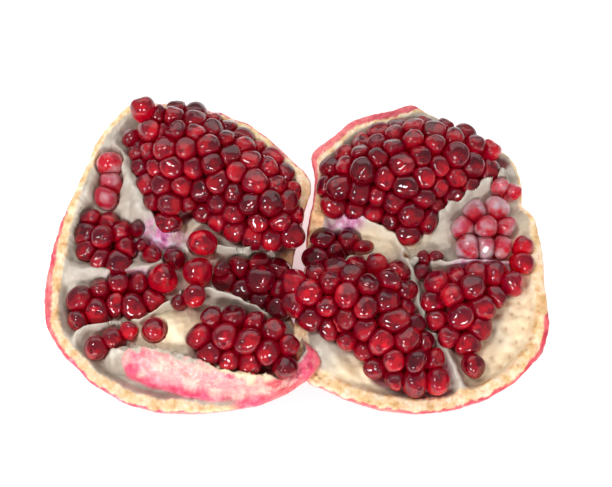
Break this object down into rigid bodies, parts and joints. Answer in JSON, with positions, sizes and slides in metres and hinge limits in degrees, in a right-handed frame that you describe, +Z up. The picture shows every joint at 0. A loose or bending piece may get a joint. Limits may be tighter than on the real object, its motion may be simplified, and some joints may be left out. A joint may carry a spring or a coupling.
{
  "type": "torn open pomegranate",
  "caption": "Ripe pomegranate torn open like a book, halves lying side by side and still joined by a bridge of rind, red arils packed in white pith, to rest on a table or board.",
  "frame": {"origin": "centre of the bounding box at its base, on the surface the fruit rests on", "axes": "+X along the row of the two halves, from the left half to the right half; +Y away from the viewer, from the bridge that joins the halves towards the open gap; +Z up, the way the torn faces look"},
  "size_m": [0.1522, 0.0991, 0.0485],
  "materials": {
    "rind_and_pith": "pink and red leathery skin outside, pale cream pith inside, tan where torn",
    "red_aril": "wet, glossy, translucent deep red",
    "pale_aril": "wet, glossy, translucent pale pink to rose"
  },
  "bodies": {
    "root": {"aril_left_dark": "red_aril", "aril_left_gem": "red_aril", "aril_left_long_a": "red_aril", "aril_left_long_b": "red_aril", "aril_left_pale_back": "pale_aril", "aril_left_pale_front": "pale_aril", "aril_left_pale_mid": "pale_aril", "aril_left_ridge_a": "red_aril", "aril_left_ridge_b": "red_aril", "aril_left_round": "red_aril", "aril_left_stain_a": "red_aril", "aril_left_stain_b": "red_aril", "aril_left_stain_c": "red_aril", "aril_left_stain_d": "red_aril", "aril_left_tall": "red_aril", "aril_left_tall_front": "red_aril", "aril_left_tall_low": "red_aril", "aril_left_tall_right": "red_aril", "aril_left_wall_a": "red_aril", "aril_left_wall_b": "red_aril", "aril_left_wall_c": "red_aril", "aril_right_broken": "red_aril", "aril_right_edge_a": "red_aril", "aril_right_edge_b": "red_aril", "aril_right_hinge": "red_aril", "aril_right_nook_a": "red_aril", "aril_right_nook_b": "red_aril", "aril_right_nook_c": "red_aril", "aril_right_pointed": "red_aril", "aril_right_tip_a": "pale_aril", "aril_right_tip_b": "pale_aril", "arils_left_back": "red_aril", "arils_left_flap": "red_aril", "arils_left_front": "red_aril", "arils_left_inner": "red_aril", "arils_left_side": "red_aril", "arils_right_back": "red_aril", "arils_right_front": "red_aril", "arils_right_inner": "red_aril", "arils_right_pale": "pale_aril", "arils_right_side": "red_aril", "peel": "rind_and_pith"}
  },
  "joints": []
}
